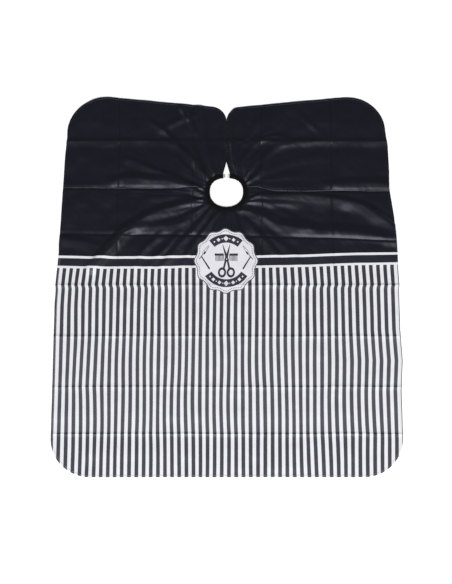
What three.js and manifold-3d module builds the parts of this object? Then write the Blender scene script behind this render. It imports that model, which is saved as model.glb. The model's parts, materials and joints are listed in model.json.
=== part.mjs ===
// Barber cape laid out flat: one printed cloth with a back slit, narrow hems, an elastic
// neckband and a hook-and-ring closure at the band's two ends.
//
// Frame: millimetres, +Z up, the cape lies on Z = 0. X runs across the cape, +Y runs from the
// front hem to the back edge with the slit. The origin is the middle of the laid cape.
//
// The cloth is one piece that folds along its pressed creases. The two back flaps, either side
// of the slit, and the row along the front hem turn about those creases, so each is a solid of
// its own.

import * as THREE from 'three';
import { mergeVertices } from 'three/addons/utils/BufferGeometryUtils.js';
import Module from 'manifold-3d';

const wasm = await Module();
wasm.setup();

// ---- Driving dimensions -------------------------------------------------------------------

// Cloth outline, as it lies.
const capeWidth = 1400;          // across the striped part
const capeLength = 1600;         // front hem to the tops of the back lobes
const backWidth = 1344;          // across the back, where the neck gathers draw the cloth in
const taperLength = 650;         // back edge to where the sides start to draw in
const frontCornerRadius = 155;
const backCornerRadius = 170;
const lobeCornerRadius = 65;     // inner corner of each back lobe, at the slit
const backEdgeSlope = THREE.MathUtils.degToRad(5.65);
const slitWidth = 3;

// Layers.
const clothThickness = 1.6;      // the cloth with its small ripples
const hemLayer = 0.9;            // the folded-over layer above and below the cloth's edge
const hemWidth = 9;
const fit = 0.3;                 // clearance between pieces that touch
const foldGap = 0.8;             // between two rows of cloth at a crease that turns

// Pressed creases that turn.
const frontRowLength = 174;      // front hem to its crease
const backFlapLength = 195;      // back edge to its crease

// Neckband.
const neckWidth = 137;           // the open neck, side to side
const neckLength = 124;          // the open neck, front to back
const neckDepth = 421;           // back edge to the neck's centre
const bandWidth = 20;
const bandHeight = 10;
const bandLayer = 0.9;           // thickness of the folded binding
const bandGap = 27;              // between the band's two ends
const clothTuck = 5.5;           // how far the cloth's edge goes into the binding
const elasticThickness = 2;
const veeLength = 51;            // from the band's outer edge to the bottom of the slit
const veeWidth = 31;             // at the band

// Closure.
const wireDiameter = 1.6;
const ringLength = 17;           // along the band's end
const ringReach = 5.4;           // between the ring's pin and its front bar
const pinHeight = 4;
const loopLayer = 0.9;
const loopLength = 11;
const loopTail = 9;              // how far the loop's tail goes into the band
const tongueWidth = 8;
const tongueThickness = 0.8;
const tongueDrop = 2.6;          // how far the tongue stands under the wire's centre
const tongueReturn = 3.2;        // how far its tip turns back towards the band
const tackLength = 14;
const tackWidth = 2;
const tackThickness = 0.6;
const tackInset = 3;             // from the band's end

const curveSteps = 20;           // straight pieces in a quarter of a turn

// ---- Sizes that follow --------------------------------------------------------------------

const halfLength = capeLength / 2;
const hemHeight = 2 * hemLayer + 2 * fit + clothThickness;
const clothBottom = hemLayer + fit;
const clothTop = clothBottom + clothThickness;
const frontCreaseY = frontRowLength - halfLength;
const backCreaseY = halfLength - backFlapLength;
const neckY = halfLength - neckDepth;
const neckHalfWidth = neckWidth / 2;
const neckHalfLength = neckLength / 2;
const bandOuterY = neckY + neckHalfLength + bandWidth;
const bandMiddleY = bandOuterY - bandWidth / 2;
const slitBottomY = bandOuterY + veeLength;
const elasticWidth = bandWidth - bandLayer - clothTuck - 2 * fit;
const loopInnerRadius = wireDiameter / 2 + fit;
const loopOuterRadius = loopInnerRadius + loopLayer;
const pinX = bandGap / 2 - fit - loopOuterRadius;
const reach = 2 * Math.max(capeWidth, capeLength);

// ---- Solids -------------------------------------------------------------------------------

function toSolid(geometry) {
  const bare = geometry.clone();
  bare.deleteAttribute('normal');
  bare.deleteAttribute('uv');
  const merged = mergeVertices(bare, 1e-4);
  return new wasm.Manifold(new wasm.Mesh({
    numProp: 3,
    vertProperties: new Float32Array(merged.attributes.position.array),
    triVerts: new Uint32Array(merged.index.array),
  }));
}

function toGeometry(solid) {
  const mesh = solid.getMesh();
  const indexed = new THREE.BufferGeometry();
  indexed.setAttribute('position', new THREE.BufferAttribute(mesh.vertProperties, 3));
  indexed.setIndex(new THREE.BufferAttribute(mesh.triVerts, 1));
  const geometry = indexed.toNonIndexed();
  geometry.computeVertexNormals();
  return geometry;
}

function box(low, high) {
  const size = high.map((value, axis) => value - low[axis]);
  const geometry = new THREE.BoxGeometry(...size);
  geometry.translate(...low.map((value, axis) => value + size[axis] / 2));
  return toSolid(geometry);
}

function plate(points, bottom, top) {
  const geometry = new THREE.ExtrudeGeometry(new THREE.Shape(points), {
    depth: top - bottom,
    bevelEnabled: false,
  });
  geometry.translate(0, 0, bottom);
  return toSolid(geometry);
}

// A round bar between two points.
function bar(start, end, radius) {
  const from = new THREE.Vector3(...start);
  const to = new THREE.Vector3(...end);
  const along = new THREE.Vector3().subVectors(to, from);
  const geometry = new THREE.CylinderGeometry(radius, radius, along.length(), 16);
  const turn = new THREE.Quaternion().setFromUnitVectors(
    new THREE.Vector3(0, 1, 0), along.clone().normalize());
  geometry.applyQuaternion(turn);
  geometry.translate(...from.add(to).multiplyScalar(0.5).toArray());
  return toSolid(geometry);
}

function union(solids) {
  return solids.reduce((joined, solid) => joined.add(solid));
}

// ---- The cape's outline -------------------------------------------------------------------

function arc(centreX, centreY, radius, startAngle, endAngle) {
  const steps = Math.ceil(Math.abs(endAngle - startAngle) / (Math.PI / 2) * curveSteps);
  const points = [];
  for (let step = 0; step <= steps; step += 1) {
    const angle = startAngle + (endAngle - startAngle) * step / steps;
    points.push(new THREE.Vector2(
      centreX + radius * Math.cos(angle), centreY + radius * Math.sin(angle)));
  }
  return points;
}

// The right half, from the middle of the front hem round to the neck.
function rightOutline() {
  const side = capeWidth / 2;
  const backCornerX = backWidth / 2 - backCornerRadius;
  const backCornerY = halfLength - backCornerRadius;
  const lobeX = slitWidth / 2 + lobeCornerRadius;
  const drop = (lobeCornerRadius - backCornerRadius
    + Math.sin(backEdgeSlope) * (backCornerX - lobeX)) / Math.cos(backEdgeSlope);
  const lobeY = backCornerY - drop;
  const edgeNormal = Math.PI / 2 + backEdgeSlope;
  return [
    new THREE.Vector2(0, -halfLength),
    ...arc(side - frontCornerRadius, frontCornerRadius - halfLength, frontCornerRadius,
      -Math.PI / 2, 0),
    new THREE.Vector2(side, halfLength - taperLength),
    ...arc(backCornerX, backCornerY, backCornerRadius, 0, edgeNormal),
    ...arc(lobeX, lobeY, lobeCornerRadius, edgeNormal, Math.PI),
    new THREE.Vector2(slitWidth / 2, slitBottomY),
    new THREE.Vector2(veeWidth / 2, bandOuterY),
    new THREE.Vector2(veeWidth / 2, neckY),
  ];
}

function capeOutline() {
  const right = rightOutline();
  const left = right.slice(1).map((point) => new THREE.Vector2(-point.x, point.y));
  return [...right, ...left.reverse()];
}

// The same outline, moved in by a distance at every edge.
function inset(points, distance) {
  const count = points.length;
  return points.map((point, index) => {
    const before = point.clone().sub(points[(index + count - 1) % count]).normalize();
    const after = points[(index + 1) % count].clone().sub(point).normalize();
    const normalBefore = new THREE.Vector2(-before.y, before.x);
    const normalAfter = new THREE.Vector2(-after.y, after.x);
    const middle = normalBefore.clone().add(normalAfter).normalize();
    return point.clone().addScaledVector(middle, distance / middle.dot(normalBefore));
  });
}

// An ellipse that runs round the neck, a distance outside the open neck.
function neckEllipse(distance) {
  const points = [];
  const steps = 4 * curveSteps;
  for (let step = 0; step < steps; step += 1) {
    const angle = 2 * Math.PI * step / steps;
    points.push(new THREE.Vector2(
      (neckHalfWidth + distance) * Math.cos(angle),
      neckY + (neckHalfLength + distance) * Math.sin(angle)));
  }
  return points;
}

// ---- Cloth and hems -----------------------------------------------------------------------

// Each row of cloth: the part of the plan that belongs to it.
const rows = {
  middle: box([-reach, frontCreaseY + foldGap / 2, -reach],
    [reach, backCreaseY - foldGap / 2, reach]),
  front: box([-reach, -reach, -reach], [reach, frontCreaseY - foldGap / 2, reach]),
  backLeft: box([-reach, backCreaseY + foldGap / 2, -reach], [0, reach, reach]),
  backRight: box([0, backCreaseY + foldGap / 2, -reach], [reach, reach, reach]),
};
const slitSide = {
  left: box([-veeWidth / 2 - 2 * hemWidth, bandMiddleY, -reach], [0, reach, reach]),
  right: box([0, bandMiddleY, -reach], [veeWidth / 2 + 2 * hemWidth, reach, reach]),
};
const outerSide = {
  left: box([-reach, -reach, -reach], [-backWidth / 2 + 3 * hemWidth, reach, reach]),
  right: box([backWidth / 2 - 3 * hemWidth, -reach, -reach], [reach, reach, reach]),
};

function wholeCloth() {
  const tuckedEdge = bandWidth - clothTuck;
  return plate(inset(capeOutline(), hemLayer + fit), clothBottom, clothTop)
    .subtract(plate(neckEllipse(tuckedEdge), -reach, reach));
}

function wholeHem() {
  const outline = capeOutline();
  const pocket = plate(inset(outline, hemLayer), clothBottom - fit, clothTop + fit);
  const bandZone = plate(neckEllipse(bandWidth + fit), -reach, reach);
  return plate(outline, 0, hemHeight)
    .subtract(plate(inset(outline, hemWidth), -reach, reach))
    .subtract(pocket)
    .subtract(bandZone);
}

// ---- Neckband -----------------------------------------------------------------------------

// Everything round the neck stops at the gap between the band's ends.
function openAtBack(solid) {
  const gap = box([-bandGap / 2, neckY, -reach], [bandGap / 2, reach, reach]);
  return solid.subtract(gap);
}

function neckRing(innerDistance, outerDistance, bottom, top) {
  const outer = plate(neckEllipse(outerDistance), bottom, top);
  return outer.subtract(plate(neckEllipse(innerDistance), -reach, reach));
}

// A strip folded round the cloth's edge: closed towards the neck, open towards the cloth.
function bindingSolid() {
  const body = neckRing(0, bandWidth, 0, bandHeight);
  const channel = neckRing(bandLayer, 2 * bandWidth, bandLayer, bandHeight - bandLayer);
  return openAtBack(body.subtract(channel));
}

function elasticSolid() {
  const start = bandLayer + fit;
  return openAtBack(neckRing(start, start + elasticWidth, start, start + elasticThickness));
}

// ---- Closure ------------------------------------------------------------------------------

// Side is -1 for the left end of the band and +1 for the right end. The wire ring turns in the
// loop about its pin, and its front bar points into the gap.
function ringSolid(side) {
  const radius = wireDiameter / 2;
  const halfSpan = ringLength / 2 - radius;
  const pin = side * pinX;
  const front = side * (pinX - ringReach);
  const corners = [
    [pin, bandMiddleY - halfSpan, pinHeight],
    [pin, bandMiddleY + halfSpan, pinHeight],
    [front, bandMiddleY + halfSpan, pinHeight],
    [front, bandMiddleY - halfSpan, pinHeight],
  ];
  const bars = corners.map((corner, index) => bar(corner, corners[(index + 1) % 4], radius));
  const bends = corners.map((corner) => {
    const bend = new THREE.SphereGeometry(radius, 16, 12);
    bend.translate(...corner);
    return toSolid(bend);
  });
  return union([...bars, ...bends]);
}

// The tongue stands down from the front bar and turns back towards the band.
function tongueSolid(side) {
  const front = side * (pinX - ringReach);
  const low = bandMiddleY - tongueWidth / 2;
  const high = bandMiddleY + tongueWidth / 2;
  const bottom = pinHeight - tongueDrop - tongueThickness;
  const back = front + side * tongueReturn;
  const halfLayer = tongueThickness / 2;
  const stem = box([front - halfLayer, low, bottom], [front + halfLayer, high, pinHeight]);
  const tip = box([Math.min(front, back), low, bottom],
    [Math.max(front, back), high, bottom + tongueThickness]);
  return stem.add(tip);
}

// A tape folded round the ring's pin, its tail inside the band.
function loopSolid(side) {
  const ends = [bandMiddleY - loopLength / 2, bandMiddleY + loopLength / 2];
  const pin = side * pinX;
  const outer = bar([pin, ends[0], pinHeight], [pin, ends[1], pinHeight], loopOuterRadius);
  const inner = bar([pin, ends[0] - 1, pinHeight], [pin, ends[1] + 1, pinHeight],
    loopInnerRadius);
  const tailStart = side * (pinX + loopInnerRadius + loopLayer / 2);
  const tailEnd = side * (bandGap / 2 + loopTail);
  const tail = box([Math.min(tailStart, tailEnd), ends[0], pinHeight - loopLayer / 2],
    [Math.max(tailStart, tailEnd), ends[1], pinHeight + loopLayer / 2]);
  return outer.add(tail).subtract(inner);
}

function tackSolid(side) {
  const x = side * (bandGap / 2 + tackInset);
  const bottom = bandHeight + fit;
  return box([x - tackWidth / 2, bandMiddleY - tackLength / 2, bottom],
    [x + tackWidth / 2, bandMiddleY + tackLength / 2, bottom + tackThickness]);
}

// ---- Scene --------------------------------------------------------------------------------

const finishes = {
  cloth: { color: 0x2a2b38, roughness: 0.42, metalness: 0 },
  stripes: { color: 0x8f8f98, roughness: 0.42, metalness: 0 },
  hem: { color: 0x232430, roughness: 0.5, metalness: 0 },
  band: { color: 0x0f0f10, roughness: 0.9, metalness: 0 },
  elastic: { color: 0xd9d6cc, roughness: 0.8, metalness: 0 },
  wire: { color: 0xcfc8b8, roughness: 0.3, metalness: 1 },
  thread: { color: 0x1a1a20, roughness: 0.7, metalness: 0 },
};

const cape = new THREE.Group();

function addPiece(name, solid, finish) {
  const material = new THREE.MeshStandardMaterial(finishes[finish]);
  const mesh = new THREE.Mesh(toGeometry(solid), material);
  mesh.name = name;
  cape.add(mesh);
}

const cloth = wholeCloth();
const hem = wholeHem();

addPiece('cape_cloth', cloth.intersect(rows.middle), 'cloth');
addPiece('cape_cloth_front_row', cloth.intersect(rows.front), 'stripes');
addPiece('cape_cloth_back_left', cloth.intersect(rows.backLeft), 'cloth');
addPiece('cape_cloth_back_right', cloth.intersect(rows.backRight), 'cloth');

for (const side of ['left', 'right']) {
  addPiece(`hem_${side}`, hem.intersect(rows.middle).intersect(outerSide[side]), 'hem');
  addPiece(`hem_slit_${side}`, hem.intersect(rows.middle).intersect(slitSide[side]), 'hem');
}
addPiece('hem_front', hem.intersect(rows.front), 'stripes');
addPiece('hem_back_left', hem.intersect(rows.backLeft), 'hem');
addPiece('hem_back_right', hem.intersect(rows.backRight), 'hem');

addPiece('neckband_binding', bindingSolid(), 'band');
addPiece('neck_elastic', elasticSolid(), 'elastic');
addPiece('hook_loop', loopSolid(-1), 'band');
addPiece('ring_loop', loopSolid(1), 'band');
addPiece('closure_hook', ringSolid(-1).add(tongueSolid(-1)), 'wire');
addPiece('closure_ring', ringSolid(1), 'wire');
addPiece('bar_tack_left', tackSolid(-1), 'thread');
addPiece('bar_tack_right', tackSolid(1), 'thread');

export default cape;
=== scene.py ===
import json
import math

import bpy
import numpy as np
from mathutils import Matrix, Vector


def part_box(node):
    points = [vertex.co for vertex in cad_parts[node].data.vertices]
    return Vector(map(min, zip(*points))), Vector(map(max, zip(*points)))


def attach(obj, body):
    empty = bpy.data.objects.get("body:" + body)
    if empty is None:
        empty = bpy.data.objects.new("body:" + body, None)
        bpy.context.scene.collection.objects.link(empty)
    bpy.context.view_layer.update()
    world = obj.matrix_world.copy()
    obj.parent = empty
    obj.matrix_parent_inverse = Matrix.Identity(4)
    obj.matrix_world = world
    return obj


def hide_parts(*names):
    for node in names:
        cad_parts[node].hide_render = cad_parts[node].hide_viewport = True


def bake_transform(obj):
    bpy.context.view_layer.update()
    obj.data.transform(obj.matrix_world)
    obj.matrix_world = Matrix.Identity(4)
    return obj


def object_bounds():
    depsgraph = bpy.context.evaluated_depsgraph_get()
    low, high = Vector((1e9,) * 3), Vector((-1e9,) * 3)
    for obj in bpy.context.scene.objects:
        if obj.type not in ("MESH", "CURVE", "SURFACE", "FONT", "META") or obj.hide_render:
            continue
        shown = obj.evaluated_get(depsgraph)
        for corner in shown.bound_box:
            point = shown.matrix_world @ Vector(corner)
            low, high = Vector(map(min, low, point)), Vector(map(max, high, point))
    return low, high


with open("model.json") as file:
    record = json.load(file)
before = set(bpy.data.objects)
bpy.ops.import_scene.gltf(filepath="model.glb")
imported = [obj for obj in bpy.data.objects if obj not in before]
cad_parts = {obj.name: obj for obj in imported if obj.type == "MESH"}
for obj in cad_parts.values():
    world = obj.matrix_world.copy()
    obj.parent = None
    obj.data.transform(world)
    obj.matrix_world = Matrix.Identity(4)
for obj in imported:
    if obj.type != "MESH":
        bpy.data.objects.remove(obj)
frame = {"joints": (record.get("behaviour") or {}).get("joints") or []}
cad_box = [list(corner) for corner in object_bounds()]

MM = 0.001
TINY = 1e-12
FAR = 1e9
UP = np.array([0.0, 0.0, 1.0])

# ---- Sizes, in metres, in the frame's own axes -----------------------------------------------

HALF_WIDTH = round(cad_box[1][0], 3)
HALF_LENGTH = round(cad_box[1][1], 3)
BACK_HALF_WIDTH = 0.672
TAPER_Y = HALF_LENGTH - 0.650
FRONT_CORNER = 0.155
BACK_CORNER = 0.170
LOBE_CORNER = 0.065
BACK_SLOPE = math.radians(5.65)
SLIT_HALF = 0.00002

BAND_LOW, BAND_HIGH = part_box("neckband_binding")
BAND_WIDTH = 0.020
BAND_A = (BAND_HIGH.x - BAND_LOW.x) / 2          # outer half axes of the band
BAND_B = 0.082
NECK_A = BAND_A - BAND_WIDTH
NECK_B = BAND_B - BAND_WIDTH
NECK_Y = BAND_LOW.y + BAND_B
BAND_TOP_Y = NECK_Y + BAND_B
BAND_Z = 0.0060
BAND_HALF_HEIGHT = 0.0055
BAND_GAP_HALF = 0.0135
VEE_HALF = 0.0135
VEE_TIP_Y = BAND_TOP_Y + 0.051

RING_LOW, RING_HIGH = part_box("closure_ring")
PIN_Z = (RING_LOW.z + RING_HIGH.z) / 2

JOINTS = {joint["name"]: joint for joint in frame["joints"]}
BACK_CREASE = JOINTS["back_left_fold"]["pos_m"][1]
FRONT_CREASE = JOINTS["front_row_fold"]["pos_m"][1]

# Pressed creases across the cape, front to back, and along it, left to right.
CROSS_CREASES = [FRONT_CREASE, -0.436, -0.228, -0.015, 0.197, 0.402, BACK_CREASE]
LONG_CREASES = [-0.449, -0.142, 0.146, 0.437]

# The print, in the cloth's own flat coordinates.
STRIPE_PITCH = 0.0286
STRIPE_DARK = 0.0149
STRIPE_SHIFT = -0.003
STRIPES_TOP = 0.056
LOWER_LINE_TOP = 0.0655
UPPER_LINE_LOW = 0.0985
UPPER_LINE_TOP = 0.1088
BADGE_Y = 0.086
PRINT_SHIFT = 0.003

CLOTH_THICKNESS = 0.0004
HEM_WIDTH = 0.009
STITCH_INSET = HEM_WIDTH - 0.0018
REST_HEIGHT = 0.0014
HINGE_REACH = 0.009       # half the width of the strip that bends at a folding crease
HINGE_STEP = 0.0022       # between grid lines there
CREASE_HALF = 0.0028      # from a crease to the next grid line
FINE_STEP = 0.003         # between grid lines round the neck
FINE_X = (-0.17, 0.17)
FINE_Y = (0.24, 0.53)


# ---- Number helpers ---------------------------------------------------------------------------

def smoothstep(low, high, value):
    t = np.clip((value - low) / (high - low), 0, 1)
    return t * t * (3 - 2 * t)


def value_noise(x, y, seed):
    """Smooth noise from -1 to 1 with features about one unit across."""
    table = np.random.default_rng(seed).uniform(-1, 1, (64, 64))
    ix, iy = np.floor(x).astype(int), np.floor(y).astype(int)
    fx, fy = x - ix, y - iy
    sx = fx * fx * fx * (fx * (fx * 6 - 15) + 10)
    sy = fy * fy * fy * (fy * (fy * 6 - 15) + 10)
    corner = [[table[(ix + i) % 64, (iy + j) % 64] for j in (0, 1)] for i in (0, 1)]
    low = corner[0][0] * (1 - sx) + corner[1][0] * sx
    high = corner[0][1] * (1 - sx) + corner[1][1] * sx
    return low * (1 - sy) + high * sy


def spline(points, count):
    """A smooth line of count points through a few points."""
    given = np.array(points, float)
    padded = np.vstack([2 * given[0] - given[1], given, 2 * given[-1] - given[-2]])
    spans = len(given) - 1
    place = np.linspace(0, spans, count)
    k = np.minimum(place.astype(int), spans - 1)
    t = (place - k)[:, None]
    a, b, c, d = padded[k], padded[k + 1], padded[k + 2], padded[k + 3]
    return 0.5 * (2 * b + (c - a) * t + (2 * a - 5 * b + 4 * c - d) * t ** 2
                  + (3 * b - a - 3 * c + d) * t ** 3)


def table_value(table, place):
    """The value at a place, from a table of (place, value) pairs."""
    return np.interp(place, *zip(*table))


def lengths_along(line):
    """The length of a line up to each of its points."""
    return np.r_[0, np.cumsum(np.hypot(*np.diff(line, axis=0).T))]


def mirrored(edge):
    """The same edge on the cape's other half, still with the cloth on its left."""
    return edge[::-1] * [-1, 1]


def turns_round(count):
    """Evenly spaced angles of a full turn."""
    return 2 * math.pi * np.arange(count) / count


# ---- The cape's outline -----------------------------------------------------------------------

EDGE_STEP = 0.003


def arc(x, y, radius, start, end):
    """Points round part of a circle."""
    count = max(2, int(abs(end - start) * radius / EDGE_STEP))
    angles = np.linspace(start, end, count + 1)
    return np.stack([x + radius * np.cos(angles), y + radius * np.sin(angles)], 1)


def straight(start, end):
    """Points along a straight line."""
    start, end = np.array(start), np.array(end)
    count = max(2, int(np.linalg.norm(end - start) / EDGE_STEP))
    return start + (end - start) * np.linspace(0, 1, count + 1)[:, None]


def right_edge():
    """From the middle of the front hem, up the right side, over the lobe, down to the neck."""
    corner_x = BACK_HALF_WIDTH - BACK_CORNER
    corner_y = HALF_LENGTH - BACK_CORNER
    lobe_x = SLIT_HALF + LOBE_CORNER
    drop = (LOBE_CORNER - BACK_CORNER + math.sin(BACK_SLOPE) * (corner_x - lobe_x)) \
        / math.cos(BACK_SLOPE)
    normal = math.pi / 2 + BACK_SLOPE
    front = arc(HALF_WIDTH - FRONT_CORNER, FRONT_CORNER - HALF_LENGTH, FRONT_CORNER,
                -math.pi / 2, 0)
    outer = arc(corner_x, corner_y, BACK_CORNER, 0, normal)
    lobe = arc(lobe_x, corner_y - drop, LOBE_CORNER, normal, math.pi)
    runs = [
        straight((0, -HALF_LENGTH), front[0]),
        front,
        straight(front[-1], (HALF_WIDTH, TAPER_Y)),
        straight((HALF_WIDTH, TAPER_Y), outer[0]),
        outer,
        straight(outer[-1], lobe[0]),
        lobe,
        straight(lobe[-1], (SLIT_HALF, VEE_TIP_Y)),
        straight((SLIT_HALF, VEE_TIP_Y), (VEE_HALF, BAND_TOP_Y)),
        straight((VEE_HALF, BAND_TOP_Y), (VEE_HALF, BAND_TOP_Y - 0.008)),
    ]
    kept = [runs[0]] + [run[1:] for run in runs[1:]]
    return np.vstack(kept)


def inward(points):
    """The inward normal at each point of an edge that runs with the cloth on its left."""
    ahead = np.gradient(points, axis=0)
    ahead /= np.linalg.norm(ahead, axis=1)[:, None]
    return np.stack([-ahead[:, 1], ahead[:, 0]], 1)


RIGHT_EDGE = right_edge()


def cloth_boundary():
    """The closed outline of the cloth, with the neck's edge tucked into the band."""
    right = RIGHT_EDGE + inward(RIGHT_EDGE) * 0.001
    left = mirrored(right)
    tuck = 0.005
    a, b = BAND_A - tuck, BAND_B - tuck
    start = math.acos(right[-1][0] / a)
    angles = np.linspace(start, math.pi - start - 2 * math.pi, 260)
    neck = np.stack([a * np.cos(angles), NECK_Y + b * np.sin(angles)], 1)
    return np.vstack([right, neck, left[:-1]])


BOUNDARY = cloth_boundary()


# ---- How the cloth lies -----------------------------------------------------------------------

# Each long fold, in millimetres: the points its crest runs through, its height, its widths
# towards the front and the back, and the share of its height left at its last point.
LONG_FOLDS = [
    ([(85, 350), (170, 374), (290, 386), (420, 372), (570, 338), (710, 240)], 9, 42, 13, 1.0),
    ([(85, 335), (150, 338), (260, 342), (400, 325)], 4, 16, 12, 0.2),
    ([(55, 305), (140, 285), (230, 250), (370, 232), (570, 222), (710, 196)], 7, 32, 30, 0.8),
    ([(420, 424), (520, 432), (630, 434), (710, 426)], 4, 24, 18, 1.0),
    ([(90, 250), (150, 190), (200, 125), (220, 70)], 5, 26, 16, 0.5),
    ([(200, 190), (260, 140), (290, 90)], 3.5, 22, 16, 0.4),
    ([(80, 415), (140, 475), (180, 560), (270, 590)], 6, 22, 16, 0.4),
    ([(70, 430), (110, 500), (125, 590), (120, 680)], 4, 12, 12, 0.3),
    ([(-85, 365), (-170, 404), (-260, 432), (-400, 446), (-470, 430)], 7, 32, 20, 0.7),
    ([(-100, 396), (-160, 420), (-240, 457), (-340, 497), (-410, 525)], 8, 24, 11, 0.4),
    ([(-85, 345), (-140, 352), (-210, 368), (-300, 362)], 4, 17, 12, 0.4),
    ([(-85, 332), (-140, 330), (-190, 336)], 3, 14, 10, 0.4),
    ([(-80, 330), (-130, 290), (-200, 248), (-330, 226), (-460, 215)], 7, 30, 22, 0.5),
    ([(-100, 345), (-220, 322), (-320, 283), (-410, 220), (-490, 140),
      (-560, 60)], 9, 38, 20, 0.9),
    ([(-70, 300), (-130, 225), (-200, 150), (-260, 70)], 6.5, 24, 14, 0.8),
    ([(-40, 285), (-90, 220), (-140, 150), (-170, 90)], 5, 15, 12, 0.5),
    ([(-420, 215), (-490, 140), (-565, 55)], 7, 30, 18, 0.9),
    ([(-280, 190), (-340, 130), (-370, 70)], 5, 18, 14, 0.7),
    ([(-210, 185), (-270, 120), (-310, 70)], 5, 17, 14, 0.7),
    ([(-690, 176), (-620, 170), (-540, 150)], 5, 34, 16, 0.4),
    ([(-80, 445), (-130, 505), (-180, 560), (-250, 600)], 7, 22, 13, 0.4),
    ([(-50, 455), (-78, 560), (-92, 640), (-112, 750)], 8, 24, 17, 0.6),
    ([(-95, 440), (-136, 560), (-155, 640), (-182, 735)], 7, 22, 17, 0.5),
    ([(-35, 470), (-43, 560), (-52, 670)], 4, 10, 10, 0.3),
    ([(-16, 520), (-22, 590), (-22, 690)], 4, 9, 9, 0.3),
    ([(20, 520), (24, 580), (22, 690)], 4, 9, 9, 0.3),
    ([(38, 450), (31, 560), (34, 745)], 7, 14, 15, 0.6),
    ([(80, 440), (86, 560), (94, 735)], 8, 22, 24, 0.6),
    ([(-150, 712), (-210, 690), (-280, 650)], 4, 18, 14, 0.3),
    ([(-300, 676), (-260, 645), (-215, 600)], 5, 14, 10, 0.6),
    ([(-185, 745), (-160, 700), (-130, 645)], 6, 14, 11, 0.5),
    ([(170, 618), (210, 626), (260, 616)], 4, 10, 9, 0.4),
    ([(330, 700), (370, 660), (400, 630)], 3, 14, 12, 0.3),
    ([(-10, 290), (-13, 240), (-12, 190)], 4, 10, 10, 0.3),
    ([(30, 290), (45, 240), (55, 190)], 4, 11, 11, 0.3),
]


def tent(share):
    """A roof that is 1 at its crest and leaves the ground softly where the share is 1."""
    return 0.10 * np.logaddexp(0, (1 - share) / 0.10)


def nearest_on(line, points):
    """The index of the line's point that is nearest to each of the points."""
    best = np.full(len(points), FAR)
    index = np.zeros(len(points), int)
    for k, place in enumerate(line):
        distance = (points[:, 0] - place[0]) ** 2 + (points[:, 1] - place[1]) ** 2
        closer = distance < best
        best[closer] = distance[closer]
        index[closer] = k
    return index


def long_fold(u, v, route, height, front, back, kept):
    """The rise of one fold: a roof along its crest that fades at its ends and at the band."""
    line = spline(route, 150) * MM
    heading = np.gradient(line, axis=0)
    heading /= np.linalg.norm(heading, axis=1)[:, None]
    reach = 2.6 * max(front, back) * MM
    low, high = line.min(0) - reach, line.max(0) + reach
    near = (u > low[0]) & (u < high[0]) & (v > low[1]) & (v < high[1])
    found = np.zeros_like(u)
    points = np.stack([u[near], v[near]], 1)
    if not len(points):
        return found
    index = nearest_on(line, points)
    along = index / (len(line) - 1)
    offset = points - line[index]
    turn = heading[index]
    side = turn[:, 0] * offset[:, 1] - turn[:, 1] * offset[:, 0]
    ahead = (offset * turn).sum(1)
    past = np.where(index == len(line) - 1, np.maximum(ahead, 0), 0)
    past = past + np.where(index == 0, np.maximum(-ahead, 0), 0)
    backward = side * np.sign(line[-1][0] - line[0][0]) > 0
    away, _ = band_distance(points[:, 0], points[:, 1])
    width = np.where(backward, back, front) * MM * (0.40 + 0.60 * smoothstep(0, 0.10, away))
    rounding = 2.0 * MM + 4.0 * MM * smoothstep(0, 0.10, away)
    sideways = np.sqrt(side ** 2 + rounding ** 2) - rounding
    taller = 1.0 + 0.2 * smoothstep(0.05, 0.25, away)
    crest = taller * tent(sideways / width) * np.exp(-(past / 0.022) ** 2)
    fade = 1 - (1 - kept) * smoothstep(0.35, 1.0, along)
    fade = fade * smoothstep(-0.25, 0.10, along + 2.5 * np.maximum(0.02 - away, 0) / 0.02)
    found[near] = height * MM * crest * fade
    return found


def band_distance(u, v):
    """Distance outside the band's outer edge, and the angle round the neck."""
    x, y = u, v - NECK_Y
    share = np.sqrt((x / BAND_A) ** 2 + (y / BAND_B) ** 2)
    return (share - 1) * BAND_B, np.arctan2(y, x)


GATHER_COUNT = 44


def gathers(u, v):
    """The puckers that leave the band all round."""
    away, angle = band_distance(u, v)
    ground = np.maximum(away, 0)
    random = np.random.default_rng(11)
    total = np.zeros_like(u)
    for k in range(GATHER_COUNT):
        centre = 2 * math.pi * (k + random.uniform(-0.35, 0.35)) / GATHER_COUNT
        height = random.uniform(1.4, 3.8) * MM
        length = random.uniform(0.016, 0.070)
        bend = random.uniform(-1.2, 1.2)
        half_width = random.uniform(3.0, 4.8) * MM * (1 + ground / 0.050)
        turned = angle - centre - bend * ground
        turned = (turned + math.pi) % (2 * math.pi) - math.pi
        side = turned * (BAND_A + ground)
        total += height * np.exp(-ground / length - np.abs(side / half_width) ** 1.5)
    return total


# Each pressed crease that crosses the cape: its height and its widths towards the front and the
# back in millimetres, then its strength at places across the cape. Below zero it is a gutter.
CROSS_SHAPES = [
    (3.4, 15, 7, [(-0.7, 1), (0.7, 1)]),
    (3.2, 16, 7, [(-0.7, 0.8), (0, 1), (0.7, 0.9)]),
    (3.0, 15, 8, [(-0.7, 1), (0, 0.8), (0.7, 1)]),
    (4.2, 20, 8, [(-0.7, 1), (0, 0.9), (0.7, 1)]),
    (-3.0, 7, 13, [(-0.7, 1.2), (-0.3, 1.0), (0, 0.8), (0.2, 0.9), (0.7, 1)]),
    (-3.6, 9, 14, [(-0.7, 1.2), (-0.45, 0.9), (-0.3, 1.0), (0.1, 0.4), (0.40, 0.3), (0.46, 0.8),
                   (0.7, 0.8)]),
    (6.6, 31, 12, [(-0.7, 0.9), (-0.5, 0.9), (-0.3, 0.6), (-0.1, 0.2), (0.06, 0.5), (0.14, 1.2),
                   (0.7, 1.2)]),
]


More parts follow.
